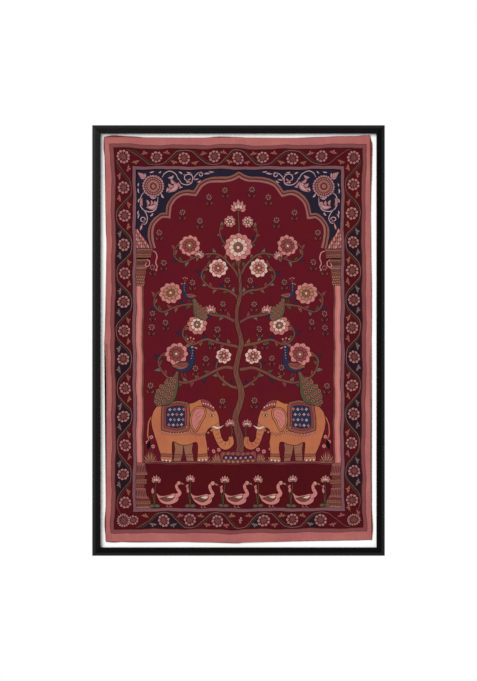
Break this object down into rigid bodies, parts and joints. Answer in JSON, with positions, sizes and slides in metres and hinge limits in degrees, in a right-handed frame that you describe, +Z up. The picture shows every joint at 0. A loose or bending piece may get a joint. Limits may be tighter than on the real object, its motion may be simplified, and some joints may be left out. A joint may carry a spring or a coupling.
{
  "type": "kalamkari panel in picture frame",
  "caption": "Upright dyed cotton kalamkari panel floated on a white board inside a plain black mitred picture frame, to hang flat on a wall.",
  "frame": {"origin": "middle of the top rail's back face, where a wall holds the frame", "axes": "+Z up the panel, +Y towards the wall, +X to the right seen from the front, face towards -Y"},
  "size_m": [0.671, 0.024, 0.9875],
  "materials": {
    "dyed_cotton": "matt madder-dyed cotton",
    "white_board": "matt white",
    "black_moulding": "black satin lacquer"
  },
  "bodies": {
    "root": {"kalamkari_cloth": "dyed_cotton", "backing_board": "white_board", "rail_top": "black_moulding", "rail_bottom": "black_moulding", "rail_left": "black_moulding", "rail_right": "black_moulding"}
  },
  "joints": []
}
